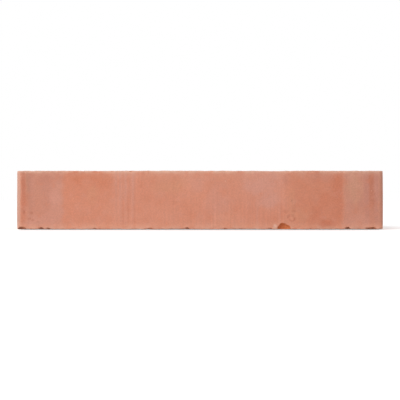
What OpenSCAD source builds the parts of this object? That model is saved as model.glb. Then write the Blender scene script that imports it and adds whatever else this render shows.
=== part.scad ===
// Long, thin clay facing brick: one solid piece, pushed through a die, cut from the column with wires and fired.
// It lies on its lower bed, with the face that shows in a wall towards -Y and its length along X.
// The origin is the middle of the lower bed.

/* [Brick] */
// Length from end to end
brick_length = 290; // [190:1:500]
// Width from face to back
brick_width = 95; // [60:1:150]
// Height from bed to bed
brick_height = 47; // [35:1:80]

/* [Arrises] */
// Radius of the four upright arrises, which the die rounds
upright_arris_radius = 4; // [2.5:0.1:12]
// Radius of the arrises round the two beds, where the wire cut is worn
bed_arris_radius = 1.2; // [0.4:0.1:2]

/* [Chip] */
// Distance from the right end to the middle of the chip on the lower front arris
chip_from_end = 79; // [20:1:150]
// Width of the chip along the arris
chip_width = 11; // [4:0.5:20]
// Height of the chip up the face
chip_rise = 6; // [2:0.5:12]
// Depth of the chip back along the bed
chip_depth = 3; // [1:0.5:6]

/* [Hidden] */
$fn = 96;

// Straight stretches between the upright arrises
straight_length = brick_length - 2 * upright_arris_radius;
straight_width = brick_width - 2 * upright_arris_radius;

// The chip is a scoop of a ball that passes through its two ends on the arris, its top on the face and
// its back on the bed, so the ball's middle lies this far in front of the face and below the bed.
chip_half_width = chip_width / 2;
chip_ball_forward = (pow(chip_half_width, 2) - pow(chip_depth, 2)) / (2 * chip_depth);
chip_ball_below = (pow(chip_half_width, 2) - pow(chip_rise, 2)) / (2 * chip_rise);
chip_ball_radius = norm([chip_half_width, chip_ball_forward, chip_ball_below]);

// Upright rectangle on the X axis, its corners rounded to the bed arris
module cut_section(width) {
    inner_width = width - 2 * bed_arris_radius;
    inner_height = brick_height - 2 * bed_arris_radius;
    translate([-inner_width / 2, 0])
        square([inner_width, brick_height]);
    translate([-width / 2, bed_arris_radius])
        square([width, inner_height]);
    for (side = [-1, 1], up = [bed_arris_radius, brick_height - bed_arris_radius])
        translate([side * inner_width / 2, up])
            circle(r = bed_arris_radius);
}

// Middle of the brick between its end arrises, face and back at full width
module face_to_back() {
    rotate([90, 0, 90])
        linear_extrude(straight_length, center = true)
            cut_section(brick_width);
}

// Middle of the brick between its face and back arrises, ends at full length
module end_to_end() {
    rotate([90, 0, 0])
        linear_extrude(straight_width, center = true)
            cut_section(brick_length);
}

// One rounded upright arris, turned so that the bed arris rolls round it
module upright_arris() {
    rotate_extrude()
        intersection() {
            cut_section(2 * upright_arris_radius);
            square([upright_arris_radius, brick_height]);
        }
}

// The brick before it was chipped
module whole_brick() {
    face_to_back();
    end_to_end();
    for (x = [-1, 1], y = [-1, 1])
        translate([x * straight_length / 2, y * straight_width / 2, 0])
            upright_arris();
}

// Ball that scoops the chip out of the lower front arris
module chip() {
    translate([
        brick_length / 2 - chip_from_end,
        -brick_width / 2 - chip_ball_forward,
        -chip_ball_below
    ])
        sphere(r = chip_ball_radius);
}

module brick() {
    color("#cd8a72")
        difference() {
            whole_brick();
            chip();
        }
}

brick();
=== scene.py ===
"""A long clay facing brick lying on its bed on a white studio floor."""

import math
import random

import bmesh
import bpy
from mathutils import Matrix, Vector, kdtree, noise


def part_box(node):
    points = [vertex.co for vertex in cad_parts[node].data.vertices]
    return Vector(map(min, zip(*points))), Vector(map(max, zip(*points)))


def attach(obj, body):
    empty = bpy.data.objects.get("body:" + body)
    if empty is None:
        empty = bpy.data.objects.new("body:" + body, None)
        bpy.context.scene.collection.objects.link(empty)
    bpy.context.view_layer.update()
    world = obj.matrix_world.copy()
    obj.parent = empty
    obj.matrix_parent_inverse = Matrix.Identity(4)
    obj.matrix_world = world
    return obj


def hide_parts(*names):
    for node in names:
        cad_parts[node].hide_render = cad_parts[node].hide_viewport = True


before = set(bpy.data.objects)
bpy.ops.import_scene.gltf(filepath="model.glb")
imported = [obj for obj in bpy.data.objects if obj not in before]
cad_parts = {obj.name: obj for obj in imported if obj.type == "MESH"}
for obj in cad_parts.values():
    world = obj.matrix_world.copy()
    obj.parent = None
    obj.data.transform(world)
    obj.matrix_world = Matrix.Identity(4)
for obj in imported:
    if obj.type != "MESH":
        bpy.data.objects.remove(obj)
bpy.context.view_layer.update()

MM = 0.001

# Outer size of the brick, in metres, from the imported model
LOW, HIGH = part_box("brick")
LENGTH, WIDTH, HEIGHT = HIGH - LOW
MIDDLE = (LOW + HIGH) / 2

# Arrises: the die rounds the four upright ones, the wire leaves the bed ones nearly sharp
UPRIGHT_RADIUS = 4.0 * MM
BED_RADIUS = 1.2 * MM

# Mesh: strips in from each arris as (width, step), the step of the stretch between them along X, Y and Z, and
# how closely an edge has to fit a stretch to be cut with it
STRIPS = ((2.0 * MM, 0.33 * MM), (5.0 * MM, 0.62 * MM))
MIDDLE_STEPS = (0.95 * MM, 1.3 * MM, 2.0 * MM)
EDGE_FIT = 0.01 * MM

# Part of the front round the chip and the blister that is meshed finer: from the left end, up the face and in
FINE_FROM, FINE_TO, FINE_UP, FINE_IN = 201.0 * MM, 224.0 * MM, 17.0 * MM, 6.0 * MM

# Sides by the axis that they face, and each one's material: front skin, back skin or wire-cut clay
SIDES = (("left end", "right end"), ("front", "back"), ("lower bed", "upper bed"))
SIDE_MATERIALS = {"front": 0, "right end": 0, "back": 1, "left end": 1, "lower bed": 2, "upper bed": 2}

# Maps of the sides unrolled and of all sides packed on one sheet, and the bare room between sides on the
# sheet
UNROLLED_MAP = "unrolled_faces"
BAKE_MAP = "OFBake"
SHEET_GAP = 1.0 * MM

# Even relief in the clay: depth, and length of its waves along X, Y and Z, in millimetres
WARP = (0.30, (48, 40, 30))
DRAG_LINES = (0.08, (3.6, 3.6, 70))
BROAD_GROOVES = (0.36, (4.4, 60, 10))
FINE_GROOVES = (0.16, (2.3, 24, 10))

# How far the wire swung from a straight cut, and the waves of that in millimetres
WIRE_BEND = 9.0 * MM
WIRE_BEND_WAVES = (160, 75, 50)

# Hollows that the wire tore: depth and waves, the level of noise above which hard clay tears, how much lower
# it is in soft patches and their waves, and the depth at which a hollow gets the full painted shade laid in
# it
TORN_HOLLOWS = (1.5, (2.8, 7.0, 10))
HARDEST_CLAY = 0.84
SOFT_PATCHES = (0.24, (38, 30, 20))
TEAR_SHADE_DEPTH = 0.35

# Upward part of the normal from which the wire's marks show, and the share of the rest at which they are full
BED_SLOPE = 0.5
FLAT_BED = 0.8

# Wear along the bed arrises: how quickly it fades away from them, and for rubbed and crumbled stretches the
# depth, the waves and the level of noise above which they show
ARRIS_FADE = 2.0 * MM
RUBBED_ARRIS = (0.7, (27, 27, 27), 0.50)
CRUMBLED_ARRIS = (0.8, (2.6, 2.6, 2.6), 0.48)

# Most that a bed arris wears, in millimetres, less than its radius, and the nearness to it where this eases
DEEPEST_WEAR = 0.85
LIMIT_EASES = 0.5

# The chip on the lower front arris, two scoops run together: middle from the left end, width, rise up the
# face and depth along the bed, in millimetres
CHIP_SCOOPS = (
    (210.5, 8.5, 5.5, 3.0),
    (213.0, 7.4, 4.2, 2.6),
)

# The blister above the chip: middle from the left end and up from the bed, depth of its groove, and for its
# dark ring, its pale core and its pale ring the radius, half the width and the strength. Its rings bend by so
# much over such a length, and gaps of such a size are worn through the dark one.
BLISTER_FROM_LEFT = 217.2 * MM
BLISTER_UP = 9.5 * MM
BLISTER_DEPTH = 0.20 * MM
BLISTER_DARK = ((2.4 * MM, 1.2 * MM, 0.70),)
BLISTER_PALE = ((0.0, 1.9 * MM, 0.65), (4.3 * MM, 1.6 * MM, 0.22))
BLISTER_BEND = 1.1 * MM
BLISTER_BEND_WAVES = 3.2 * MM
BLISTER_GAPS = 2.6 * MM

# Small nicks of the lower front arris: middle from the left end, width, rise and depth, in millimetres
FRONT_NICKS = (
    (3.6, 9.5, 2.8, 2.8),
    (19.7, 5.0, 2.2, 2.0),
    (25.5, 4.0, 1.7, 1.6),
    (62.0, 3.4, 1.6, 1.4),
    (106.0, 7.0, 1.6, 1.5),
    (135.0, 5.6, 2.1, 2.0),
    (165.0, 3.4, 1.5, 1.4),
    (177.0, 4.6, 1.6, 1.5),
    (200.5, 4.4, 1.8, 1.6),
    (261.4, 4.2, 2.2, 2.2),
    (278.2, 9.0, 2.0, 2.3),
    (281.2, 7.2, 2.4, 2.4),
    (287.4, 4.6, 1.2, 1.6),
)

# The other nicks: how far apart they lie, about, on the two front arrises and on the rest, the least width,
# rise and depth in millimetres, what the largest adds, how rare large ones are, and the seed of the draw
FRONT_NICK_SPACING = 72.0 * MM
NICK_SPACING = 24.0 * MM
LEAST_NICK = (1.8, 1.0, 1.0)
LARGE_NICK = (5.5, 1.4, 1.2)
NICK_RARITY = 3
NICK_SEED = 47

# Finish of the breaks: how craggy they are, how much raw clay shows, and how strongly painted shade darkens
# them
CHIP_FINISH = {"crag": 0.09, "raw": 1.0, "nick_shade": 0.0}
FRONT_NICK_FINISH = {"crag": 0.14, "raw": 0.6, "nick_shade": 0.85}
NICK_FINISH = {"crag": 0.16, "raw": 0.5, "nick_shade": 0.35}

# Length of the crags in a break: a share of its width, and what is added to that
CRAG_SHARE = 0.22
LEAST_CRAG = 0.4 * MM

# Marks of a break on the mesh, the bite that shows raw clay in full, and the lip's reach and how it fades
BREAK_MARKS = ("broken", "lifted", "nick_shade_mark")
RAW_BITE = 0.25 * MM
LIP_REACH = 2.0 * MM
LIP_FADE = 0.9 * MM

# Colours of the fired clay, as 8-bit screen values
TERRACOTTA = (211, 143, 118)
WARM_CLAY = (208, 137, 111)
TAN_CLAY = (206, 142, 113)
ORANGE = (203, 125, 95)
DEEP_ORANGE = (201, 129, 102)
RUST = (196, 117, 89)
PINK_SCUM = (207, 146, 127)
GREY_SCUM = (196, 135, 114)
MAUVE_SCUM = (190, 129, 112)
BROWN_SCUM = (182, 126, 104)
ASH_SCUM = (200, 146, 120)
FLASH_RED = (184, 111, 86)
# The pale arris colour is scum, and on the left front arris also a painted highlight
ARRIS_SCUM_AND_HIGHLIGHT = (195, 153, 136)
# The worn arris colour is partly real wear and partly a painted highlight where light catches the arrises
WORN_ARRIS_AND_HIGHLIGHT = (221, 176, 154)
# The lifted skin colour also paints light onto the foot of the upright faces, against the shade there
LIFTED_SKIN_AND_FOOT_LIGHT = (220, 152, 124)
FRESH_BREAK = (217, 126, 80)
# The torn clay colour is partly dark clay in specks and partly painted shade in the beds' hollows
DARK_CLAY_AND_HOLLOW_SHADE = (168, 94, 68)
# The dark speck colour is painted shade in the pits and in the old nicks
PIT_AND_NICK_SHADE = (122, 66, 48)
PALE_SPECK = (226, 186, 166)
BLACK, WHITE = (0, 0, 0), (255, 255, 255)

# Kiln flash round the four upright faces, unrolled from the left end of the front: colour, from and to in
# millimetres, how softly each side blends in, and strength at the top and at the foot. The front's table
# goes on over the right end, the back's over the left end.
FRONT_FLASH = (
    (GREY_SCUM, 8.5, 36.4, 3.0, 2.4, 0.90, 0.75),
    (BROWN_SCUM, 8.0, 12.2, 1.0, 1.8, 0.70, 0.08),
    (FLASH_RED, 4.3, 7.6, 0.9, 1.0, 0.80, 0.32),
    (MAUVE_SCUM, 10.5, 14.0, 1.5, 2.5, 0.45, 0.15),
    (MAUVE_SCUM, 20.0, 28.5, 2.0, 2.4, 0.40, 0.10),
    (PINK_SCUM, 27.5, 36.0, 3.0, 2.2, 0.35, 0.48),
    (ORANGE, 36.6, 76.0, 1.6, 8.0, 0.55, 0.30),
    (PINK_SCUM, 76.0, 94.3, 1.6, 0.9, 0.25, 0.05),
    (PINK_SCUM, 78.0, 79.6, 0.5, 0.5, 0.55, 0.10),
    (PINK_SCUM, 81.4, 83.2, 0.5, 0.5, 0.70, 0.15),
    (PINK_SCUM, 85.6, 87.2, 0.5, 0.5, 0.75, 0.15),
    (PINK_SCUM, 91.0, 92.8, 0.5, 0.5, 0.70, 0.25),
    (RUST, 84.0, 85.0, 0.5, 0.5, 0.10, 0.40),
    (RUST, 88.0, 89.2, 0.5, 0.5, 0.15, 0.40),
    (RUST, 93.2, 94.2, 0.5, 0.5, 0.05, 0.30),
    (PINK_SCUM, 156.0, 157.6, 0.5, 0.5, 0.00, 0.40),
    (PINK_SCUM, 159.4, 160.8, 0.5, 0.5, 0.05, 0.35),
    (PINK_SCUM, 176.0, 211.0, 9.0, 3.0, 0.50, 0.05),
    (PINK_SCUM, 189.4, 191.0, 0.5, 0.5, 0.20, 0.40),
    (PINK_SCUM, 206.8, 208.4, 0.5, 0.5, 0.20, 0.40),
    (RUST, 208.6, 209.8, 0.5, 0.5, 0.10, 0.30),
    (DEEP_ORANGE, 215.0, 257.6, 5.0, 1.8, 0.80, 0.70),
    (RUST, 249.0, 257.8, 4.0, 1.6, 0.65, 0.30),
    # Next to the right arris the grey and mauve bands are laid on strongly, partly kiln flash and partly
    # painted shade of the light falling off towards that end
    (GREY_SCUM, 258.6, 297.0, 1.8, 3.0, 0.95, 0.72),
    (MAUVE_SCUM, 274.6, 278.8, 1.4, 0.9, 0.75, 0.50),
    (FLASH_RED, 278.8, 282.8, 1.3, 1.4, 0.75, 0.25),
    (MAUVE_SCUM, 282.6, 285.6, 0.9, 1.2, 0.75, 0.50),
    (DEEP_ORANGE, 308.0, 348.0, 10.0, 8.0, 0.60, 0.75),
    (PINK_SCUM, 326.0, 327.4, 0.5, 0.5, 0.50, 0.25),
    (PINK_SCUM, 331.5, 333.0, 0.5, 0.5, 0.15, 0.50),
    (PINK_SCUM, 356.0, 374.0, 3.0, 6.0, 0.60, 0.45),
)
BACK_FLASH = (
    (FLASH_RED, 391.0, 395.0, 2.0, 2.6, 0.45, 0.12),
    (GREY_SCUM, 398.0, 419.0, 2.5, 1.2, 0.85, 0.75),
    (MAUVE_SCUM, 398.0, 403.0, 1.5, 2.0, 0.40, 0.20),
    (ORANGE, 420.0, 458.0, 1.2, 12.0, 0.80, 0.35),
    (PINK_SCUM, 462.0, 503.0, 9.0, 4.0, 0.10, 0.70),
    (PINK_SCUM, 512.0, 513.6, 0.5, 0.5, 0.55, 0.20),
    (PINK_SCUM, 517.4, 519.0, 0.5, 0.5, 0.40, 0.40),
    (PINK_SCUM, 521.0, 522.2, 0.5, 0.5, 0.15, 0.55),
    (DEEP_ORANGE, 590.0, 636.0, 12.0, 1.2, 0.65, 0.80),
    (RUST, 627.0, 636.0, 4.0, 1.2, 0.55, 0.35),
    (GREY_SCUM, 637.0, 661.0, 1.2, 3.0, 0.90, 0.80),
    (FLASH_RED, 663.5, 668.0, 2.2, 2.8, 0.40, 0.10),
    (ORANGE, 690.0, 730.0, 8.0, 10.0, 0.60, 0.40),
    (PINK_SCUM, 712.0, 713.4, 0.5, 0.5, 0.20, 0.50),
    (PINK_SCUM, 717.0, 718.6, 0.5, 0.5, 0.50, 0.30),
    (DEEP_ORANGE, 742.0, 760.0, 6.0, 2.0, 0.60, 0.45),
)

# Pale bloom on the rounded upright arrises, on the same measure; on the left front arris it is also a painted
# highlight, where light from the left catches the rounding
FRONT_BLOOM_AND_HIGHLIGHT = (
    (ARRIS_SCUM_AND_HIGHLIGHT, -6.0, 3.2, 1.2, 1.0, 0.85, 0.95),
    (PINK_SCUM, 380.0, 390.0, 3.0, 3.0, 0.30, 0.45),
)
BACK_BLOOM_AND_HIGHLIGHT = (
    (PINK_SCUM, 380.0, 390.0, 3.0, 3.0, 0.30, 0.45),
    (PINK_SCUM, 670.0, 680.0, 3.0, 3.0, 0.45, 0.30),
    (ARRIS_SCUM_AND_HIGHLIGHT, 766.0, 776.0, 2.0, 1.2, 0.80, 0.90),
)

# Clouds of flash and scum on the same faces: colour, middle along and up in millimetres, half the width,
# half the height, and strength
FRONT_CLOUDS = (
    (RUST, 7.0, 24.0, 4.0, 9.0, 0.35),
    (FLASH_RED, 28.0, 45.0, 30.0, 12.0, 0.20),
    (PINK_SCUM, 31.0, 25.0, 6.0, 9.5, 0.55),
    (PINK_SCUM, 21.0, 6.0, 16.0, 7.0, 0.55),
    (ORANGE, 49.0, 43.0, 14.0, 9.0, 0.90),
    (ORANGE, 66.0, 41.0, 12.0, 8.0, 0.65),
    (TAN_CLAY, 61.0, 28.0, 5.0, 9.0, 0.55),
    (TAN_CLAY, 122.0, 35.0, 14.0, 8.0, 0.60),
    (PINK_SCUM, 145.0, 36.0, 9.0, 8.0, 0.40),
    (ORANGE, 135.0, 16.0, 10.0, 15.0, 0.28),
    (PINK_SCUM, 159.0, 16.0, 12.0, 24.0, 0.50),
    (LIFTED_SKIN_AND_FOOT_LIGHT, 162.0, 8.0, 12.0, 10.0, 0.35),
    (PINK_SCUM, 187.0, 34.0, 10.0, 8.0, 0.90),
    (PINK_SCUM, 200.0, 38.0, 12.0, 10.0, 0.85),
    (PINK_SCUM, 199.0, 23.5, 10.0, 8.0, 0.95),
    (MAUVE_SCUM, 213.0, 39.0, 4.0, 9.0, 0.40),
    (TAN_CLAY, 217.5, 24.0, 3.5, 12.0, 0.50),
    (TAN_CLAY, 225.0, 12.0, 9.0, 7.0, 0.50),
    (MAUVE_SCUM, 241.0, 42.0, 10.0, 5.0, 0.35),
    (RUST, 237.0, 12.0, 7.0, 9.0, 0.35),
    (RUST, 243.0, 23.0, 8.0, 8.0, 0.35),
    (RUST, 245.2, 4.4, 6.0, 5.0, 0.92),
    (ASH_SCUM, 266.0, 33.0, 8.5, 16.0, 0.65),
    (MAUVE_SCUM, 263.5, 20.0, 3.5, 5.0, 0.40),
    (MAUVE_SCUM, 272.5, 20.0, 3.5, 6.0, 0.45),
    (PINK_SCUM, 270.0, 6.0, 11.0, 8.0, 0.45),
    (FLASH_RED, 281.8, 24.0, 2.4, 10.0, 0.35),
    (WORN_ARRIS_AND_HIGHLIGHT, 204.2, 1.6, 1.5, 3.6, 0.90),
    (FLASH_RED, 219.0, 14.9, 1.6, 1.2, 0.42),
    (FLASH_RED, 212.6, 14.2, 3.4, 1.9, 0.30),
    (FLASH_RED, 219.9, 8.8, 1.2, 1.9, 0.35),
    (DARK_CLAY_AND_HOLLOW_SHADE, 6.3, 14.0, 1.3, 1.8, 0.34),
    (DARK_CLAY_AND_HOLLOW_SHADE, 12.2, 13.3, 1.7, 1.3, 0.32),
    (DARK_CLAY_AND_HOLLOW_SHADE, 10.4, 8.7, 1.9, 1.4, 0.36),
    (DARK_CLAY_AND_HOLLOW_SHADE, 13.2, 7.8, 1.3, 1.1, 0.30),
    (DARK_CLAY_AND_HOLLOW_SHADE, 17.2, 6.4, 1.5, 1.0, 0.22),
    (PINK_SCUM, 312.0, 35.0, 13.0, 10.0, 0.60),
    (RUST, 340.0, 12.0, 14.0, 10.0, 0.45),
    (TAN_CLAY, 362.0, 26.0, 12.0, 12.0, 0.55),
)
BACK_CLOUDS = (
    (PINK_SCUM, 409.0, 14.0, 9.0, 10.0, 0.60),
    (ORANGE, 436.0, 40.0, 15.0, 9.0, 0.80),
    (PINK_SCUM, 478.0, 17.0, 13.0, 10.0, 0.85),
    (PINK_SCUM, 493.0, 30.0, 10.0, 9.0, 0.80),
    (TAN_CLAY, 538.0, 30.0, 16.0, 10.0, 0.60),
    (ORANGE, 566.0, 9.0, 15.0, 8.0, 0.70),
    (PINK_SCUM, 584.0, 37.0, 11.0, 9.0, 0.60),
    (RUST, 619.0, 15.0, 9.0, 9.0, 0.55),
    (PINK_SCUM, 650.0, 30.0, 8.0, 10.0, 0.60),
    (ORANGE, 704.0, 32.0, 13.0, 11.0, 0.65),
    (PINK_SCUM, 731.0, 13.0, 12.0, 9.0, 0.65),
    (RUST, 752.0, 33.0, 8.0, 9.0, 0.50),
)

# The same for the beds: bands along the brick, and clouds by their middle along and across
BED_FLASH = (
    (GREY_SCUM, 5.0, 36.8, 4.0, 2.6, 0.85, 0.85),
    (ORANGE, 37.5, 74.0, 2.6, 14.0, 0.55, 0.55),
    (PINK_SCUM, 77.0, 94.0, 3.0, 3.0, 0.35, 0.35),
    (PINK_SCUM, 174.0, 211.0, 10.0, 4.0, 0.70, 0.70),
    (DEEP_ORANGE, 215.0, 257.4, 6.0, 2.2, 0.80, 0.80),
    (GREY_SCUM, 258.4, 292.0, 2.2, 6.0, 0.80, 0.80),
)
BED_CLOUDS = (
    (MAUVE_SCUM, 13.0, 22.0, 10.0, 16.0, 0.40),
    (PINK_SCUM, 24.0, 62.0, 13.0, 24.0, 0.55),
    (ORANGE, 57.0, 70.0, 17.0, 16.0, 0.65),
    (TAN_CLAY, 84.0, 30.0, 18.0, 22.0, 0.55),
    (ORANGE, 118.0, 56.0, 20.0, 22.0, 0.50),
    (PINK_SCUM, 150.0, 24.0, 24.0, 18.0, 0.55),
    (TAN_CLAY, 168.0, 76.0, 22.0, 14.0, 0.50),
    (PINK_SCUM, 197.0, 50.0, 17.0, 28.0, 0.65),
    (RUST, 237.0, 66.0, 15.0, 18.0, 0.50),
    (MAUVE_SCUM, 272.0, 42.0, 9.0, 24.0, 0.45),
)

# Stretches where the die's drag lines show, on the same measure and in the same order as a band of flash
FRONT_DRAG = (
    (WHITE, 76.0, 98.0, 5.0, 6.0, 0.80, 0.55),
    (WHITE, 116.0, 216.0, 16.0, 8.0, 0.10, 0.95),
    (WHITE, 180.0, 218.0, 8.0, 4.0, 0.50, 0.30),
    (WHITE, 262.0, 290.0, 6.0, 4.0, 0.45, 0.25),
    (WHITE, 312.0, 360.0, 12.0, 10.0, 0.70, 0.40),
)
BACK_DRAG = (
    (WHITE, 410.0, 500.0, 14.0, 20.0, 0.80, 0.20),
    (WHITE, 540.0, 650.0, 20.0, 12.0, 0.20, 0.80),
    (WHITE, 690.0, 745.0, 10.0, 12.0, 0.40, 0.80),
)

# Heights, as shares of a face, at which a band has its strength of the foot and of the top
BAND_FOOT, BAND_TOP = 0.1, 0.9

# Distances, in half sizes of a cloud, at which it ends and is full, and how far its border frays
CLOUD_EDGE, CLOUD_CORE = 1.15, 0.25
CLOUD_FRAY = 0.45

# Gain that takes slow noise to about -1 to 1
SWAY_GAIN = 4.0

# Share of a speck's radius that is solid, and sizes of an arris's worn patches and of the crumbs in a break
SPECK_CORE = 0.45
WEAR_PATCH = 6.0 * MM
CRUMB = 1.8 * MM

# Gloss of bare fired clay
CLAY_SPECULAR = 0.30

# Studio: light levels at which a colour renders about as it is written
SKY_LIGHT = 0.48
KEY_LIGHT = 0.45
SIDE_LIGHT = 0.25
BACK_LIGHT = 0.30
FLOOR_WHITE = 0.75
FLOOR_GLOW = 0.36

# Studio: how far the lamps hang from the brick, how far the floor reaches and how far below the bed it lies
FAR_LAMP_DISTANCE = 1.8
NEAR_LAMP_DISTANCE = 0.9
FLOOR_REACH = 30.0
FLOOR_DROP = 0.1 * MM

# Camera: lens and sensor in millimetres, the nearest that it sees, and the brick's share of the width
CAMERA_LENS = 85.0
CAMERA_SENSOR = 36.0
CAMERA_CLIP = 0.01
BRICK_SHARE_OF_FRAME = 0.92


# Objects


def added(name, data):
    """A new object in the scene."""
    thing = bpy.data.objects.new(name, data)
    bpy.context.scene.collection.objects.link(thing)
    return thing


def finished(name, form, *materials):
    """A modelled form as a new object in its materials."""
    mesh = bpy.data.meshes.new(name)
    form.to_mesh(mesh)
    form.free()
    for material in materials:
        mesh.materials.append(material)
    return added(name, mesh)


# Mesh of the brick


def gridded_block():
    """A closed block of the brick's outer size in fine quads, finest along the arrises and round the chip."""
    block = bmesh.new()
    bmesh.ops.create_cube(block, size=1.0)
    bmesh.ops.scale(block, vec=HIGH - LOW, verts=block.verts)
    bmesh.ops.translate(block, vec=MIDDLE, verts=block.verts)
    cut_strips(block)
    margin = sum(width for width, _ in STRIPS)
    for axis in range(3):
        middle = (HIGH - LOW)[axis] - 2 * margin
        for stretch, step in STRIPS + ((middle, MIDDLE_STEPS[axis]),):
            edges = [edge for edge in block.edges if spans(edge, axis, stretch)]
            cuts = round(stretch / step) - 1
            bmesh.ops.subdivide_edges(block, edges=edges, cuts=cuts, use_grid_fill=True)
    refine_chip(block)
    return block


def cut_strips(block):
    """Cuts the strips along the arrises into the block."""
    for axis in range(3):
        direction = Vector([float(other == axis) for other in range(3)])
        inset = 0.0
        for width, _ in STRIPS:
            inset += width
            for corner, inward in ((LOW, 1.0), (HIGH, -1.0)):
                bmesh.ops.bisect_plane(
                    block,
                    geom=block.verts[:] + block.edges[:] + block.faces[:],
                    plane_co=corner + direction * inset * inward,
                    plane_no=direction,
                )


def spans(edge, axis, stretch):
    """Does the edge run along the axis for just this stretch?"""
    run = edge.verts[1].co - edge.verts[0].co
    return abs(abs(run[axis]) - stretch) < EDGE_FIT and abs(run.length - stretch) < EDGE_FIT


def refine_chip(block):
    """Halves the faces round the chip and the blister."""
    edges = set()
    for face in block.faces:
        x, y, z = face.calc_center_median() - LOW
        if FINE_FROM < x < FINE_TO and z < FINE_UP and y < FINE_IN:
            edges.update(face.edges)
    bmesh.ops.subdivide_edges(block, edges=list(edges), cuts=1, use_grid_fill=True)


def side_of(face):
    """The side of the block that a face lies on."""
    axis = max(range(3), key=lambda part: abs(face.normal[part]))
    return SIDES[axis][int(face.normal[axis] > 0)]


def unrolled_place(side, place):
    """Where a point of a side lies along and up the unrolled faces, or along and across a bed."""
    x, y, z = place
    return {
        "front": (x, z),
        "right end": (LENGTH + y, z),
        "back": (2 * LENGTH + WIDTH - x, z),
        "left end": (2 * (LENGTH + WIDTH) - y, z),
        "upper bed": (x, y),
        "lower bed": (x, WIDTH - y),
    }[side]


def map_faces(block):
    """Gives each corner its place on the unrolled faces, in metres, and on a sheet that packs all the sides.
    """
    unrolled = block.loops.layers.uv.new(UNROLLED_MAP)
    sheet = block.loops.layers.uv.new(BAKE_MAP)
    rows = [SHEET_GAP]
    for tall in (HEIGHT, HEIGHT, WIDTH, WIDTH, HEIGHT):
        rows.append(rows[-1] + tall + SHEET_GAP)
    front_row, back_row, upper_bed_row, lower_bed_row, ends_row, sheet_size = rows
    shifts = {
        "front": (0.0, front_row),
        "back": (-LENGTH - WIDTH, back_row),
        "upper bed": (0.0, upper_bed_row),
        "lower bed": (0.0, lower_bed_row),
        "right end": (-LENGTH, ends_row),
        "left end": (SHEET_GAP - 2 * LENGTH, ends_row),
    }
    for face in block.faces:
        side = side_of(face)
        shift, row = shifts[side]
        for corner in face.loops:
            along, up = unrolled_place(side, corner.vert.co - LOW)
            corner[unrolled].uv = (along, up)
            corner[sheet].uv = ((along + shift + SHEET_GAP) / sheet_size, (up + row) / sheet_size)


def mark_arrises(block):
    """Notes how near each point lies to an arris of a bed: 1 on it, falling to 0 on the flat."""
    near = block.verts.layers.float.new("arris")
    for vertex in block.verts:
        x, y, z = (min(low, high) for low, high in zip(vertex.co - LOW, HIGH - vertex.co))
        vertex[near] = math.exp(-max(z, min(x, y)) / ARRIS_FADE)


def round_upright_arrises(block):
    """Bends the square upright edges to the die's radius, ring by ring."""
    reach = Vector((LENGTH / 2 - UPRIGHT_RADIUS, WIDTH / 2 - UPRIGHT_RADIUS))
    for vertex in block.verts:
        place = vertex.co.xy - MIDDLE.xy
        inner = Vector([max(-far, min(far, at)) for at, far in zip(place, reach)])
        out = place - inner
        if out.x and out.y:
            out *= max(abs(out.x), abs(out.y)) / out.length
            vertex.co.xy = MIDDLE.xy + inner + out


def inside_outline(place):
    """Distance in from the rounded plan outline, and the way out of it."""
    at = place.xy - MIDDLE.xy
    over_x = abs(at.x) - (LENGTH / 2 - UPRIGHT_RADIUS)
    over_y = abs(at.y) - (WIDTH / 2 - UPRIGHT_RADIUS)
    if over_x > 0 and over_y > 0:
        corner = Vector((math.copysign(over_x, at.x), math.copysign(over_y, at.y)))
        return UPRIGHT_RADIUS - corner.length, corner.normalized()
    if over_x > over_y:
        return UPRIGHT_RADIUS - over_x, Vector((math.copysign(1.0, at.x), 0.0))
    return UPRIGHT_RADIUS - over_y, Vector((0.0, math.copysign(1.0, at.y)))


def round_bed_arrises(block):
    """Rolls the edges round both beds to their small radius."""
    for vertex in block.verts:
        inset, outward = inside_outline(vertex.co)
        upwards = 1.0 if vertex.co.z > MIDDLE.z else -1.0
        depth = HEIGHT / 2 - abs(vertex.co.z - MIDDLE.z)
        across = BED_RADIUS - inset
        down = BED_RADIUS - depth
        if across > 0 and down > 0:
            drawn_in = 1.0 - max(across, down) / math.hypot(across, down)
            vertex.co.xy -= outward * across * drawn_in
            vertex.co.z -= upwards * down * drawn_in


def ripple(place, waves):
    """Smooth noise from 0 to 1, its waves about this long along X, Y and Z, in millimetres."""
    at = Vector([part / length for part, length in zip(place, waves)]) / MM
    return 0.5 + 0.5 * noise.noise(at)


def above(value, level):
    """How far a value from 0 to 1 rises above a level, as a share of what is left above it."""
    return max(0.0, value - level) / (1.0 - level)


def relief(place, depth, waves):
    """Depth of an even relief, in millimetres."""
    return depth * ripple(place, waves)


def patchy_relief(place, depth, waves, level):
    """Depth of a relief that shows only where its noise rises above a level, in millimetres."""
    return depth * above(ripple(place, waves), level)


def wire_relief(place):
    """Depths of the wire's marks in a bed, in millimetres: bent grooves across it, and torn hollows."""
    bend = WIRE_BEND * (ripple(place, WIRE_BEND_WAVES) - 0.5)
    bent = Vector((place.x + bend, place.y, place.z))
    grooves = relief(bent, *BROAD_GROOVES) + relief(bent, *FINE_GROOVES)
    hardness = HARDEST_CLAY - relief(place, *SOFT_PATCHES)
    return grooves, patchy_relief(bent, *TORN_HOLLOWS, hardness)


def arris_wear(place):
    """Depth worn off an arris, in millimetres: long rubbed stretches and small crumbled ones."""
    return patchy_relief(place, *RUBBED_ARRIS) + patchy_relief(place, *CRUMBLED_ARRIS)


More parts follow.
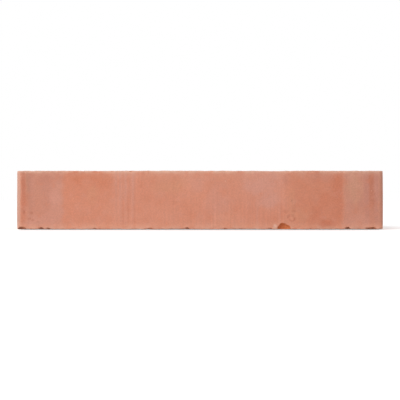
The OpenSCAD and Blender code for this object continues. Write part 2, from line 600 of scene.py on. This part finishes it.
def roughen(block):
    """Presses the unevenness of die skin, wire-cut beds and worn arrises into the block, always inwards."""
    near = block.verts.layers.float["arris"]
    tear_shade = block.verts.layers.float.new("tear_shade")
    block.normal_update()
    moves = []
    for vertex in block.verts:
        place = vertex.co
        depth = relief(place, *WARP) + arris_wear(place) * vertex[near]
        flat = min(1.0, above(abs(vertex.normal.z), BED_SLOPE) / FLAT_BED)
        if flat > 0:
            grooves, tears = wire_relief(place)
            depth += flat * (grooves + tears)
            # This mark tells the beds' material how much shade to paint into the hollow
            vertex[tear_shade] = flat * min(1.0, tears / TEAR_SHADE_DEPTH)
        else:
            depth += relief(place, *DRAG_LINES)
        depth = min(depth, DEEPEST_WEAR / min(1.0, vertex[near] / LIMIT_EASES) ** 2)
        moves.append((vertex, vertex.normal * depth * MM))
    for vertex, move in moves:
        vertex.co -= move


def press_blister(block):
    """Presses the groove of a small blister into the face above the chip."""
    radius, half, _ = BLISTER_DARK[0]
    for vertex in block.verts:
        x, y, z = vertex.co - LOW
        if y < UPRIGHT_RADIUS:
            away = math.hypot(x - BLISTER_FROM_LEFT, z - BLISTER_UP)
            vertex.co.y += BLISTER_DEPTH * math.exp(-(((away - radius) / half) ** 2))


def scoop(block, tree, arris, size, crag, raw, nick_shade):
    """Breaks a scoop out of an arris: a ball through its two ends, its top and its back."""
    corner, up, back = arris
    width, rise, depth = size
    half = width / 2
    forward = (half**2 - depth**2) / (2 * depth)
    below = (half**2 - rise**2) / (2 * rise)
    centre = corner - back * forward - up * below
    radius = math.sqrt(half**2 + forward**2 + below**2)
    push = (up * depth + back * rise).normalized()
    broken, lifted, nick_shade_mark = (block.verts.layers.float[name] for name in BREAK_MARKS)
    for _, index, _ in tree.find_range(centre, radius * (1 + crag) + LIP_REACH):
        vertex = block.verts[index]
        out = vertex.co - centre
        reach = radius * (1 + crag * noise.noise(vertex.co / (CRAG_SHARE * width + LEAST_CRAG)))
        if out.length < reach:
            ahead = out.dot(push)
            travel = math.sqrt(ahead**2 - out.length_squared + reach**2) - ahead
            vertex.co += push * travel
            bitten = min(1.0, travel / RAW_BITE)
            vertex[broken] = max(vertex[broken], raw * bitten)
            # This mark tells the material where to paint shade into the nick
            vertex[nick_shade_mark] = max(vertex[nick_shade_mark], nick_shade * bitten)
        else:
            rim = math.exp(-(out.length - reach) / LIP_FADE)
            vertex[lifted] = max(vertex[lifted], raw * rim)


def bed_arrises():
    """The eight bed arrises, the lower front one first: start, direction, length, and ways up and inwards."""
    for bottom in (True, False):
        z = LOW.z if bottom else HIGH.z
        up = Vector((0, 0, 1 if bottom else -1))
        for y, inward in ((LOW.y, 1), (HIGH.y, -1)):
            yield Vector((LOW.x, y, z)), Vector((1, 0, 0)), LENGTH, up, Vector((0, inward, 0))
        for x, inward in ((LOW.x, 1), (HIGH.x, -1)):
            yield Vector((x, LOW.y, z)), Vector((0, 1, 0)), WIDTH, up, Vector((inward, 0, 0))


def break_arrises(block):
    """Knocks the nicks and the chip out of the arrises."""
    for name in BREAK_MARKS:
        block.verts.layers.float.new(name)
    block.verts.ensure_lookup_table()
    tree = kdtree.KDTree(len(block.verts))
    for vertex in block.verts:
        tree.insert(vertex.co, vertex.index)
    tree.balance()
    draw = random.Random(NICK_SEED)
    for start, along, length, up, back in bed_arrises():
        spacing = FRONT_NICK_SPACING if back.y > 0 else NICK_SPACING
        for _ in range(round(length / spacing)):
            place = start + along * draw.uniform(0.0, length)
            large = draw.random() ** NICK_RARITY
            size = [(least + more * large) * MM for least, more in zip(LEAST_NICK, LARGE_NICK)]
            scoop(block, tree, (place, up, back), size, **NICK_FINISH)
    start, along, _, up, back = next(bed_arrises())
    for breaks, finish in ((FRONT_NICKS, FRONT_NICK_FINISH), (CHIP_SCOOPS, CHIP_FINISH)):
        for middle, *size in breaks:
            place = start + along * middle * MM
            scoop(block, tree, (place, up, back), [part * MM for part in size], **finish)


def fired_brick(*materials):
    """The brick as one mesh, in die skin on its upright faces and wire-cut clay on its beds."""
    block = gridded_block()
    block.normal_update()
    map_faces(block)
    mark_arrises(block)
    for face in block.faces:
        face.material_index = SIDE_MATERIALS[side_of(face)]
        face.smooth = True
    round_upright_arrises(block)
    round_bed_arrises(block)
    roughen(block)
    press_blister(block)
    break_arrises(block)
    block.normal_update()
    return finished("fired_brick", block, *materials)


# Node helpers


def linear_colour(values):
    """Linear colour of an 8-bit screen colour."""
    linear = []
    for value in values:
        part = value / 255
        linear.append(part / 12.92 if part <= 0.04045 else ((part + 0.055) / 1.055) ** 2.4)
    return (*linear, 1.0)


def feed(tree, socket, value):
    """Links a socket to another, or sets its value. A colour is given in 8-bit screen values."""
    if isinstance(value, bpy.types.NodeSocket):
        tree.links.new(value, socket)
    elif isinstance(value, tuple):
        socket.default_value = linear_colour(value)
    else:
        socket.default_value = value


def math_of(tree, operation, *values):
    """Output of a math node."""
    made = tree.nodes.new("ShaderNodeMath")
    made.operation = operation
    for socket, value in zip(made.inputs, values):
        feed(tree, socket, value)
    return made.outputs["Value"]


def product(tree, first, *others):
    """Output of values multiplied together."""
    for other in others:
        first = math_of(tree, "MULTIPLY", first, other)
    return first


def eased(tree, value, start, end, at_start=0.0, at_end=1.0):
    """A value that goes smoothly from one figure to another as the given one goes from start to end."""
    made = tree.nodes.new("ShaderNodeMapRange")
    made.interpolation_type = "SMOOTHSTEP"
    names = ("Value", "From Min", "From Max", "To Min", "To Max")
    for name, given in zip(names, (value, start, end, at_start, at_end)):
        feed(tree, made.inputs[name], given)
    return made.outputs["Result"]


def mixed(tree, share, under, over, blend="MIX"):
    """Colour of a mix node."""
    made = tree.nodes.new("ShaderNodeMix")
    made.data_type = "RGBA"
    made.blend_type = blend
    sockets = {socket.identifier: socket for socket in made.inputs}
    feed(tree, sockets["Factor_Float"], share)
    feed(tree, sockets["A_Color"], under)
    feed(tree, sockets["B_Color"], over)
    return next(socket for socket in made.outputs if socket.identifier == "Result_Color")


def divided(tree, vector, size):
    """A vector in units of this size."""
    made = tree.nodes.new("ShaderNodeVectorMath")
    made.operation = "SCALE"
    feed(tree, made.inputs[0], vector)
    feed(tree, made.inputs["Scale"], math_of(tree, "DIVIDE", 1.0, size))
    return made.outputs["Vector"]


def vector_of(tree, x, y, z=0.0):
    """A vector from three values."""
    made = tree.nodes.new("ShaderNodeCombineXYZ")
    for socket, value in zip(made.inputs, (x, y, z)):
        feed(tree, socket, value)
    return made.outputs["Vector"]


def noise_of(tree, vector, detail=2.0, roughness=0.5):
    """Output of a noise texture whose waves are about one unit of the vector long."""
    made = tree.nodes.new("ShaderNodeTexNoise")
    feed(tree, made.inputs["Vector"], vector)
    for name, value in (("Scale", 1.0), ("Detail", detail), ("Roughness", roughness)):
        made.inputs[name].default_value = value
    return made.outputs["Fac"]


def noise_at(tree, place, size, **texture):
    """Output of a noise texture whose waves are about this long."""
    return noise_of(tree, divided(tree, place, size), **texture)


def new_group(name, output, **inputs):
    """An empty node group, its inputs by name, and its one output. Sockets are listed by their kind."""
    group = bpy.data.node_groups.new(name, "ShaderNodeTree")
    for kind, labels in inputs.items():
        for label in labels:
            group.interface.new_socket(label, in_out="INPUT", socket_type="NodeSocket" + kind)
    label, kind = output
    group.interface.new_socket(label, in_out="OUTPUT", socket_type="NodeSocket" + kind)
    entry = group.nodes.new("NodeGroupInput")
    leaving = group.nodes.new("NodeGroupOutput")
    return group, entry.outputs, leaving.inputs[label]


def placed(tree, group, **values):
    """Output of a group placed in a tree with its own values."""
    made = tree.nodes.new("ShaderNodeGroup")
    made.node_tree = group
    for label, value in values.items():
        feed(tree, made.inputs[label.replace("_", " ")], value)
    return made.outputs[0]


# Effects that die skin and wire-cut clay share


def grain_group():
    """Sandy grain of fired clay, as shade from 0 to 1."""
    group, given, shade = new_group("clay_grain", ("Shade", "Float"), Vector=["Place"], Float=["Size"])
    feed(group, shade, noise_at(group, given["Place"], given["Size"], detail=4.0, roughness=0.7))
    return group


def drag_group():
    """Lines that die or wire dragged through the wet clay, as shade from 0 to 1."""
    inputs = ["Along", "Run", "Spacing", "Reach"]
    group, given, shade = new_group("drag_lines", ("Shade", "Float"), Float=inputs)
    across = math_of(group, "DIVIDE", given["Along"], given["Spacing"])
    down = math_of(group, "DIVIDE", given["Run"], given["Reach"])
    feed(group, shade, noise_of(group, vector_of(group, across, down), detail=3.0, roughness=0.6))
    return group


def speck_group():
    """Scattered specks: a share of the cells of this spacing hold one of this radius, in cells."""
    inputs = {"Vector": ["Place"], "Float": ["Spacing", "Share", "Radius"]}
    group, given, mask = new_group("clay_specks", ("Mask", "Float"), **inputs)
    cells = group.nodes.new("ShaderNodeTexVoronoi")
    feed(group, cells.inputs["Vector"], divided(group, given["Place"], given["Spacing"]))
    cells.inputs["Scale"].default_value = 1.0
    lot = group.nodes.new("ShaderNodeSeparateColor")
    feed(group, lot.inputs["Color"], cells.outputs["Color"])
    chosen = math_of(group, "LESS_THAN", lot.outputs["Red"], given["Share"])
    core = product(group, given["Radius"], SPECK_CORE)
    spot = eased(
        group, cells.outputs["Distance"], start=core, end=given["Radius"], at_start=1.0, at_end=0.0
    )
    feed(group, mask, product(group, chosen, spot))
    return group


def flash_group():
    """One band of kiln flash or scum laid over a colour. A side that blends softly also sways more."""
    group, given, colour = new_group(
        "kiln_flash", ("Color", "Color"), Color=["Under", "Band"],
        Float=["Along", "Up", "Sway", "Streak", "From", "To", "Left blend", "Right blend", "Top", "Foot"],
    )
    sides = []
    for edge, blend, left, right in (("From", "Left blend", 0.0, 1.0), ("To", "Right blend", 1.0, 0.0)):
        middle = math_of(group, "MULTIPLY_ADD", given["Sway"], given[blend], given[edge])
        start = math_of(group, "SUBTRACT", middle, given[blend])
        end = math_of(group, "ADD", middle, given[blend])
        sides.append(eased(group, given["Along"], start, end, at_start=left, at_end=right))
    strength = eased(
        group, given["Up"], BAND_FOOT, BAND_TOP, at_start=given["Foot"], at_end=given["Top"]
    )
    share = product(group, *sides, strength, given["Streak"])
    feed(group, colour, mixed(group, share, given["Under"], given["Band"]))
    return group


def cloud_group():
    """One cloud of flash or scum laid over a colour, its border frayed."""
    places = ["Along", "Up", "Middle along", "Middle up", "Half width", "Half height"]
    group, given, colour = new_group(
        "kiln_cloud", ("Color", "Color"), Color=["Under", "Cloud"], Float=[*places, "Fray", "Strength"]
    )
    squares = []
    for at, middle, half in (("Along", "Middle along", "Half width"), ("Up", "Middle up", "Half height")):
        away = math_of(group, "DIVIDE", math_of(group, "SUBTRACT", given[at], given[middle]), given[half])
        squares.append(product(group, away, away))
    distance = math_of(group, "SQRT", math_of(group, "ADD", *squares))
    frayed = math_of(group, "MULTIPLY_ADD", given["Fray"], CLOUD_FRAY, distance)
    share = product(group, eased(group, frayed, CLOUD_EDGE, CLOUD_CORE), given["Strength"])
    feed(group, colour, mixed(group, share, given["Under"], given["Cloud"]))
    return group


def wear_group():
    """Paler arrises, partly wear and partly painted highlight, raw clay where they are broken, and painted
    shade in old nicks.
    """
    group, given, worn_colour = new_group(
        "arris_wear_highlight_and_shade", ("Color", "Color"), Color=["Under", "Worn", "Raw", "Dirt"],
        Vector=["Place"], Float=["Arris", "Broken", "Dirty", "Wear"],
    )
    patches = noise_at(group, given["Place"], WEAR_PATCH, detail=3.0)
    patchy = eased(group, patches, start=0.32, end=0.60)
    wear_and_highlight = product(group, given["Arris"], patchy, given["Wear"])
    colour = mixed(group, wear_and_highlight, given["Under"], given["Worn"])
    crumbs = noise_at(group, given["Place"], CRUMB, detail=3.0, roughness=0.6)
    crumbled = mixed(group, eased(group, crumbs, start=0.45, end=0.95), given["Raw"], given["Under"])
    colour = mixed(group, given["Broken"], colour, crumbled)
    # Painted shade in the old nicks, broken up by the crumbs
    painted_nick_shade = product(group, given["Dirty"], eased(group, crumbs, start=0.65, end=0.35))
    feed(group, worn_colour, mixed(group, painted_nick_shade, colour, given["Dirt"]))
    return group


# Materials


def attribute_of(tree, name):
    """Value of a mesh attribute."""
    made = tree.nodes.new("ShaderNodeAttribute")
    made.attribute_name = name
    return made.outputs["Fac"]


def clay_material(name):
    """A material with its shader, and the places that its patterns read."""
    material = bpy.data.materials.new(name)
    material.use_nodes = True
    tree = material.node_tree
    shader = tree.nodes["Principled BSDF"]
    shader.inputs["Specular IOR Level"].default_value = CLAY_SPECULAR
    place = tree.nodes.new("ShaderNodeTexCoord").outputs["Object"]
    unrolled = tree.nodes.new("ShaderNodeUVMap")
    unrolled.uv_map = UNROLLED_MAP
    parts = tree.nodes.new("ShaderNodeSeparateXYZ")
    feed(tree, parts.inputs[0], unrolled.outputs["UV"])
    return material, tree, shader, place, parts.outputs["X"], parts.outputs["Y"]


def swaying(tree, place, size):
    """Slow noise from about -1 to 1."""
    slow = noise_at(tree, place, size, detail=3.0, roughness=0.6)
    return math_of(tree, "MULTIPLY_ADD", slow, SWAY_GAIN, -SWAY_GAIN / 2)


def flashed(tree, group, bands, colour, **shared):
    """Lays the bands over a colour, one by one."""
    for band, start, end, left, right, top, foot in bands:
        colour = placed(
            tree, group, Under=colour, Band=band, **shared,
            From=start * MM, To=end * MM, Left_blend=left * MM, Right_blend=right * MM, Top=top, Foot=foot,
        )
    return colour


def clouded(tree, group, clouds, colour, **shared):
    """Lays the clouds over a colour, one by one."""
    for cloud, along, up, half_width, half_height, strength in clouds:
        colour = placed(
            tree, group, Under=colour, Cloud=cloud, **shared,
            Middle_along=along * MM, Middle_up=up * MM,
            Half_width=half_width * MM, Half_height=half_height * MM, Strength=strength,
        )
    return colour


def shaded(tree, colour, shade, depth):
    """A colour made lighter and darker by a shade from 0 to 1."""
    swing = eased(tree, shade, start=0.2, end=0.8, at_start=-1.0, at_end=1.0)
    lightness = math_of(tree, "ADD", 1.0, product(tree, swing, depth))
    return mixed(tree, 1.0, colour, lightness, "MULTIPLY")


def tinted(tree, colour, mask, tint, strength):
    """A colour with another laid over it by a mask."""
    return mixed(tree, product(tree, mask, strength), colour, tint)


def summed(tree, *heights):
    """Height in millimetres from (shade, depth) pairs."""
    total = 0.0
    for shade, depth in heights:
        total = math_of(tree, "MULTIPLY_ADD", shade, depth, total)
    return total


def embossed(tree, shader, *heights):
    """Bump of a height in millimetres, from (shade, depth) pairs."""
    bump = tree.nodes.new("ShaderNodeBump")
    bump.inputs["Distance"].default_value = MM
    feed(tree, bump.inputs["Height"], summed(tree, *heights))
    feed(tree, shader.inputs["Normal"], bump.outputs["Normal"])


def ringed(tree, away, rings, border):
    """Mask of rings at a distance from their middle, broken where the border is low."""
    total = 0.0
    for radius, half, strength in rings:
        off = math_of(tree, "ABSOLUTE", math_of(tree, "SUBTRACT", away, radius))
        ring = eased(tree, off, start=half, end=0.0, at_end=strength)
        total = math_of(tree, "MULTIPLY_ADD", ring, border, total)
    return total


def blistered(tree, colour, place, along, up):
    """A colour with the blister's dark ring, worn through in places, its pale core and its pale ring."""
    offsets = [
        math_of(tree, "SUBTRACT", along, BLISTER_FROM_LEFT),
        math_of(tree, "SUBTRACT", up, BLISTER_UP),
    ]
    distance = math_of(tree, "SQRT", summed(tree, *zip(offsets, offsets)))
    bent = swaying(tree, place, BLISTER_BEND_WAVES)
    away = math_of(tree, "MULTIPLY_ADD", bent, BLISTER_BEND, distance)
    worn_through = eased(tree, noise_at(tree, place, BLISTER_GAPS), start=0.34, end=0.60)
    dark = ringed(tree, away, BLISTER_DARK, worn_through)
    pale = ringed(tree, away, BLISTER_PALE, 1.0)
    colour = mixed(tree, dark, colour, FLASH_RED)
    return mixed(tree, pale, colour, LIFTED_SKIN_AND_FOOT_LIGHT)


def worn_lit_and_shaded(tree, groups, colour, place, broken, wear):
    """A colour with paler arrises, partly wear and partly painted highlight, raw clay in the breaks and
    painted shade in the old nicks.
    """
    return placed(
        tree, groups["wear"], Under=colour, Worn=WORN_ARRIS_AND_HIGHLIGHT, Raw=FRESH_BREAK,
        Dirt=PIT_AND_NICK_SHADE, Place=place, Arris=attribute_of(tree, "arris"), Broken=broken,
        Dirty=attribute_of(tree, "nick_shade_mark"), Wear=wear,
    )


def die_skin(groups, name, flash, clouds, bloom_and_highlight, drag):
    """Two of the smooth upright faces: mottled clay, kiln flash, drag lines in places, the blister, and
    painted light at the foot and along the top rim.
    """
    material, tree, shader, place, along, up = clay_material(name)
    sway = swaying(tree, place, size=24.0 * MM)
    lines = {"Along": along, "Run": up}
    face = {"Along": along, "Up": math_of(tree, "DIVIDE", up, HEIGHT), "Sway": sway}

    fine = placed(tree, groups["drag"], **lines, Spacing=1.7 * MM, Reach=50.0 * MM)
    broad = placed(tree, groups["drag"], **lines, Spacing=8.0 * MM, Reach=90.0 * MM)
    grain = placed(tree, groups["grain"], Place=place, Size=1.0 * MM)
    mottle = placed(tree, groups["grain"], Place=place, Size=7.0 * MM)
    pits = placed(tree, groups["specks"], Place=place, Spacing=9.0 * MM, Share=0.06, Radius=0.07)
    grit = placed(tree, groups["specks"], Place=place, Spacing=5.0 * MM, Share=0.06, Radius=0.12)
    dragged = flashed(tree, groups["flash"], drag, BLACK, **face, Streak=1.0)
    broken = attribute_of(tree, "broken")

    slow = noise_at(tree, place, size=34.0 * MM, detail=3.0, roughness=0.55)
    warmth = eased(tree, slow, start=0.38, end=0.66)
    colour = mixed(tree, warmth, TERRACOTTA, WARM_CLAY)
    streak = eased(tree, broad, start=0.25, end=0.70, at_start=0.80, at_end=1.05)
    colour = flashed(tree, groups["flash"], flash, colour, **face, Streak=streak)
    # Painted light: the face is lightened towards its foot, against the shade of the floor and the rounded
    # lower arris
    foot = eased(tree, up, start=7.0 * MM, end=1.6 * MM)
    colour = tinted(tree, colour, foot, LIFTED_SKIN_AND_FOOT_LIGHT, strength=0.65)
    fray = swaying(tree, place, size=9.0 * MM)
    colour = clouded(tree, groups["cloud"], clouds, colour, Along=along, Up=up, Fray=fray)
    # Pale bloom on the upright arrises, on the left front arris also a painted highlight
    colour = flashed(tree, groups["flash"], bloom_and_highlight, colour, **face, Streak=streak)
    pinker = eased(tree, mottle, start=0.50, end=0.70)
    colour = tinted(tree, colour, pinker, PINK_SCUM, strength=0.35)
    redder = eased(tree, mottle, start=0.48, end=0.30)
    colour = tinted(tree, colour, redder, ORANGE, strength=0.35)
    # Painted highlight: a patchy pale line along the top rim, where light from above catches the arris
    patches = noise_at(tree, place, size=11.0 * MM, detail=3.0, roughness=0.6)
    wear_and_highlight = eased(tree, patches, start=0.36, end=0.62)
    rim = eased(tree, up, start=HEIGHT - 3.0 * MM, end=HEIGHT - 1.2 * MM)
    colour = tinted(tree, colour, product(tree, rim, wear_and_highlight), WORN_ARRIS_AND_HIGHLIGHT, strength=0.45)
    colour = shaded(tree, colour, broad, depth=0.020)
    colour = shaded(tree, colour, fine, depth=product(tree, dragged, 0.06))
    colour = shaded(tree, colour, grain, depth=0.10)
    colour = tinted(tree, colour, grit, PALE_SPECK, strength=0.40)
    # Painted shade in the pits
    colour = tinted(tree, colour, pits, PIT_AND_NICK_SHADE, strength=0.60)
    colour = blistered(tree, colour, place, along, up)
    colour = tinted(tree, colour, attribute_of(tree, "lifted"), LIFTED_SKIN_AND_FOOT_LIGHT, strength=0.85)
    # Paler arrises, partly wear and partly painted highlight, and painted shade in the old nicks
    colour = worn_lit_and_shaded(tree, groups, colour, place, broken, wear=0.90)
    feed(tree, shader.inputs["Base Color"], colour)

    dull = eased(tree, grain, start=0.2, end=0.8, at_start=0.74, at_end=0.86)
    dullest = product(tree, broken, 0.95)
    feed(tree, shader.inputs["Roughness"], math_of(tree, "MAXIMUM", dull, dullest))
    grooves = product(tree, fine, dragged)
    crumble = product(tree, grain, broken)
    embossed(tree, shader, (grooves, 0.10), (grain, 0.10), (pits, -0.30), (crumble, 0.6))
    return material


def wire_cut_clay(groups):
    """The cut beds: open, dragged texture along the wire's way, torn hollows, and the flash carried over."""
    material, tree, shader, place, along, across = clay_material("wire_cut_clay")
    sway = swaying(tree, place, size=45.0 * MM)
    swayed = math_of(tree, "MULTIPLY_ADD", sway, 2.5 * MM, along)
    lines = {"Along": swayed, "Run": across}

    fine = placed(tree, groups["drag"], **lines, Spacing=1.3 * MM, Reach=24.0 * MM)
    broad = placed(tree, groups["drag"], **lines, Spacing=5.0 * MM, Reach=80.0 * MM)
    frayed = placed(tree, groups["drag"], **lines, Spacing=2.3 * MM, Reach=6.0 * MM)
    grain = placed(tree, groups["grain"], Place=place, Size=1.3 * MM)
    pits = placed(tree, groups["specks"], Place=place, Spacing=7.0 * MM, Share=0.15, Radius=0.13)
    grit = placed(tree, groups["specks"], Place=place, Spacing=5.0 * MM, Share=0.14, Radius=0.16)
    soft = noise_at(tree, place, size=26.0 * MM)
    hollow = eased(tree, math_of(tree, "MULTIPLY_ADD", soft, 0.35, frayed), start=0.76, end=0.90)

    slow = noise_at(tree, place, size=40.0 * MM, detail=3.0, roughness=0.55)
    warmth = eased(tree, slow, start=0.38, end=0.68)
    colour = mixed(tree, warmth, TERRACOTTA, ORANGE)
    bands = {
        "Along": swayed,
        "Up": 0.5,
        "Sway": sway,
        "Streak": eased(tree, broad, start=0.25, end=0.70, at_start=0.6, at_end=1.1),
    }
    colour = flashed(tree, groups["flash"], BED_FLASH, colour, **bands)
    fray = swaying(tree, place, size=14.0 * MM)
    colour = clouded(tree, groups["cloud"], BED_CLOUDS, colour, Along=swayed, Up=across, Fray=fray)
    colour = shaded(tree, colour, broad, depth=0.050)
    colour = shaded(tree, colour, fine, depth=0.080)
    colour = shaded(tree, colour, grain, depth=0.140)
    # Painted shade in the torn hollows and the wire's dashes
    colour = tinted(tree, colour, hollow, DARK_CLAY_AND_HOLLOW_SHADE, strength=0.35)
    colour = tinted(tree, colour, attribute_of(tree, "tear_shade"), DARK_CLAY_AND_HOLLOW_SHADE, strength=0.30)
    colour = tinted(tree, colour, grit, PALE_SPECK, strength=0.55)
    # Painted shade in the pits
    colour = tinted(tree, colour, pits, PIT_AND_NICK_SHADE, strength=0.55)
    # Paler arrises, partly wear and partly painted highlight, and painted shade in the old nicks
    colour = worn_lit_and_shaded(tree, groups, colour, place, attribute_of(tree, "broken"), wear=0.60)
    feed(tree, shader.inputs["Base Color"], colour)

    dull = eased(tree, grain, start=0.2, end=0.8, at_start=0.84, at_end=0.95)
    feed(tree, shader.inputs["Roughness"], dull)
    embossed(tree, shader, (fine, 0.40), (broad, 0.30), (grain, 0.50), (hollow, -0.55), (pits, -0.55))
    return material


# Studio


def background_share(tree):
    """1 for the rays that show the background itself, 0 for those that light the brick."""
    path = tree.nodes.new("ShaderNodeLightPath")
    share = math_of(tree, "MAXIMUM", path.outputs["Is Camera Ray"], path.outputs["Is Glossy Ray"])
    return math_of(tree, "MAXIMUM", share, path.outputs["Is Transmission Ray"])


def sky():
    """Even white light all round, and plain white where the camera looks past the floor."""
    world = bpy.data.worlds.new("studio")
    bpy.context.scene.world = world
    world.use_nodes = True
    tree = world.node_tree
    tree.nodes.clear()
    light = tree.nodes.new("ShaderNodeBackground")
    feed(tree, light.inputs["Color"], WHITE)
    strength = math_of(tree, "MULTIPLY_ADD", background_share(tree), 1.0 - SKY_LIGHT, SKY_LIGHT)
    feed(tree, light.inputs["Strength"], strength)
    out = tree.nodes.new("ShaderNodeOutputWorld")
    feed(tree, out.inputs["Surface"], light.outputs["Background"])


def white_floor():
    """A matt white that glows a little where the camera sees it."""
    material = bpy.data.materials.new("white_floor")
    material.use_nodes = True
    tree = material.node_tree
    shader = tree.nodes["Principled BSDF"]
    shader.inputs["Base Color"].default_value = (FLOOR_WHITE, FLOOR_WHITE, FLOOR_WHITE, 1)
    shader.inputs["Roughness"].default_value = 1.0
    shader.inputs["Specular IOR Level"].default_value = 0.0
    feed(tree, shader.inputs["Emission Color"], WHITE)
    glow = product(tree, background_share(tree), FLOOR_GLOW)
    feed(tree, shader.inputs["Emission Strength"], glow)
    return material


def floor():
    """A white floor that keeps the brick's shadow."""
    plan = bmesh.new()
    bmesh.ops.create_grid(plan, x_segments=1, y_segments=1, size=FLOOR_REACH)
    bmesh.ops.translate(plan, vec=(0, 0, LOW.z - FLOOR_DROP), verts=plan.verts)
    ground = finished("studio_floor", plan, white_floor())


def hung(light, azimuth, elevation, distance):
    """Hangs a lamp so that it shines on the brick's middle."""
    flat = math.cos(math.radians(elevation))
    towards = Vector((
        math.sin(math.radians(azimuth)) * flat,
        -math.cos(math.radians(azimuth)) * flat,
        math.sin(math.radians(elevation)),
    ))
    holder = added(light.name, light)
    holder.location = MIDDLE + towards * distance
    holder.rotation_euler = towards.to_track_quat("Z", "Y").to_euler()


def far_lamp(name, level, softness):
    """A far soft lamp: level 1 lights a surface that faces it to its own colour."""
    light = bpy.data.lights.new(name, "SUN")
    light.energy = math.pi * level
    light.angle = math.radians(softness)
    return light


def near_lamp(name, level, across, distance):
    """A round panel near the brick, whose light falls off along it: level 1 as for a far lamp."""
    light = bpy.data.lights.new(name, "AREA")
    light.shape = "DISK"
    light.size = across
    light.energy = level * (math.pi * distance) ** 2
    return light


def lamps():
    """Light from the front left, more of it on the left end, and a little from behind."""
    key = far_lamp("key_light", KEY_LIGHT, softness=25.0)
    hung(key, azimuth=-35.0, elevation=44.0, distance=FAR_LAMP_DISTANCE)
    side = near_lamp("side_light", SIDE_LIGHT, across=0.6, distance=NEAR_LAMP_DISTANCE)
    hung(side, azimuth=-60.0, elevation=25.0, distance=NEAR_LAMP_DISTANCE)
    back = far_lamp("back_light", BACK_LIGHT, softness=40.0)
    hung(back, azimuth=130.0, elevation=25.0, distance=FAR_LAMP_DISTANCE)


def camera():
    """Straight on to the face, at the brick's middle."""
    lens = bpy.data.cameras.new("camera")
    lens.lens = CAMERA_LENS
    lens.sensor_width = CAMERA_SENSOR
    lens.clip_start = CAMERA_CLIP
    holder = added("camera", lens)
    distance = LENGTH / BRICK_SHARE_OF_FRAME * CAMERA_LENS / CAMERA_SENSOR
    holder.location = (MIDDLE.x, LOW.y - distance, MIDDLE.z)
    holder.rotation_euler = (math.pi / 2, 0, 0)
    bpy.context.scene.camera = holder


def main():
    """Makes the brick and sets it in the studio."""
    groups = {
        "grain": grain_group(),
        "drag": drag_group(),
        "specks": speck_group(),
        "flash": flash_group(),
        "cloud": cloud_group(),
        "wear": wear_group(),
    }
    brick = fired_brick(
        die_skin(groups, "front_skin", FRONT_FLASH, FRONT_CLOUDS, FRONT_BLOOM_AND_HIGHLIGHT, FRONT_DRAG),
        die_skin(groups, "back_skin", BACK_FLASH, BACK_CLOUDS, BACK_BLOOM_AND_HIGHLIGHT, BACK_DRAG),
        wire_cut_clay(groups),
    )
    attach(brick, "root")
    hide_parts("brick")
    sky()
    floor()
    lamps()
    camera()
    bpy.context.scene.view_settings.view_transform = "Standard"


main()
